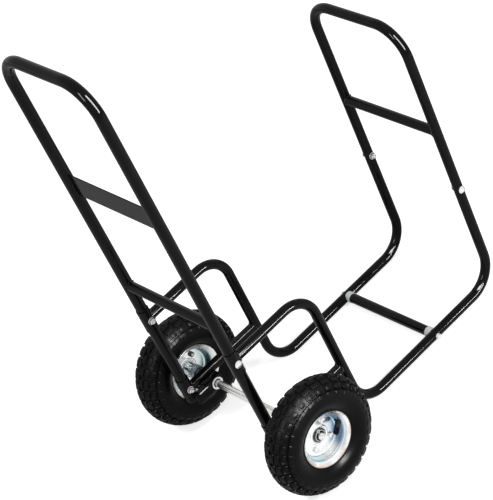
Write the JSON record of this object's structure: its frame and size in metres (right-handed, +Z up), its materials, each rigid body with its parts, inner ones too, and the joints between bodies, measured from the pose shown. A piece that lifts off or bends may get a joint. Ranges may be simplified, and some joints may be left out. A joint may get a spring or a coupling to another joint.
{
  "type": "firewood cart",
  "caption": "Two-wheeled firewood cart: bent-tube side rails and front hoop form an open log bay, with a tall U handle and pneumatic tyres.",
  "frame": {"origin": "on the floor, midway across the cart and midway between its rearmost and foremost points, parked on its tyres and front bends", "axes": "+X is the cart's right side, +Y its front, away from the handle, +Z is up"},
  "size_m": [0.5188, 0.765, 1.0978],
  "materials": {
    "black_coat": "satin black powder coat on steel tube",
    "zinc_wheel": "bright zinc plate on pressed steel",
    "zinc_fastener": "bright zinc plate",
    "axle_steel": "bright drawn steel bar",
    "tyre_rubber": "matte moulded rubber",
    "black_rubber": "smooth rubber",
    "pale_plastic": "pale grey moulded plastic",
    "black_plastic": "matte black moulded plastic",
    "nylon": "natural nylon"
  },
  "bodies": {
    "frame": {"axle": "axle_steel", "axle_end_washers": "zinc_fastener", "axle_lock_washers": "zinc_fastener", "axle_spacer_washers": "zinc_fastener", "base_crossbar": "black_coat", "base_crossbar_bolts": "zinc_fastener", "base_crossbar_plugs": "zinc_fastener", "base_crossbar_saddles": "pale_plastic", "flat_washers": "zinc_fastener", "front_bolts": "zinc_fastener", "front_crossbar": "black_coat", "front_hoop": "black_coat", "handle_crossbar": "black_coat", "handle_frame": "black_coat", "handle_slat": "black_coat", "hoop_connectors": "black_coat", "left_axle_bearer": "black_coat", "left_axle_hanger": "black_coat", "left_lower_sleeve": "black_coat", "left_side_rail": "black_coat", "left_upper_sleeve": "black_coat", "leg_bolts": "zinc_fastener", "leg_end_plugs": "black_plastic", "lock_nuts": "zinc_fastener", "right_axle_bearer": "black_coat", "right_axle_hanger": "black_coat", "right_lower_sleeve": "black_coat", "right_side_rail": "black_coat", "right_upper_sleeve": "black_coat", "split_pins": "zinc_fastener"},
    "left_wheel": {"left_hub": "zinc_wheel", "left_hub_bushes": "nylon", "left_inner_tube": "black_rubber", "left_rim_bolts": "zinc_fastener", "left_rim_inner_half": "zinc_wheel", "left_rim_nuts": "zinc_fastener", "left_rim_outer_half": "zinc_wheel", "left_tyre": "tyre_rubber", "left_valve_cap": "black_plastic", "left_valve_stem": "black_rubber"},
    "right_wheel": {"right_hub": "zinc_wheel", "right_hub_bushes": "nylon", "right_inner_tube": "black_rubber", "right_rim_bolts": "zinc_fastener", "right_rim_inner_half": "zinc_wheel", "right_rim_nuts": "zinc_fastener", "right_rim_outer_half": "zinc_wheel", "right_tyre": "tyre_rubber", "right_valve_cap": "black_plastic", "right_valve_stem": "black_rubber"}
  },
  "joints": [
    {"name": "left_wheel_spin", "type": "hinge", "parent": "frame", "child": "left_wheel", "pos_m": [-0.2184, -0.25247, 0.13], "axis": [1, 0, 0], "continuous": true},
    {"name": "right_wheel_spin", "type": "hinge", "parent": "frame", "child": "right_wheel", "pos_m": [0.2184, -0.25247, 0.13], "axis": [1, 0, 0], "continuous": true}
  ]
}
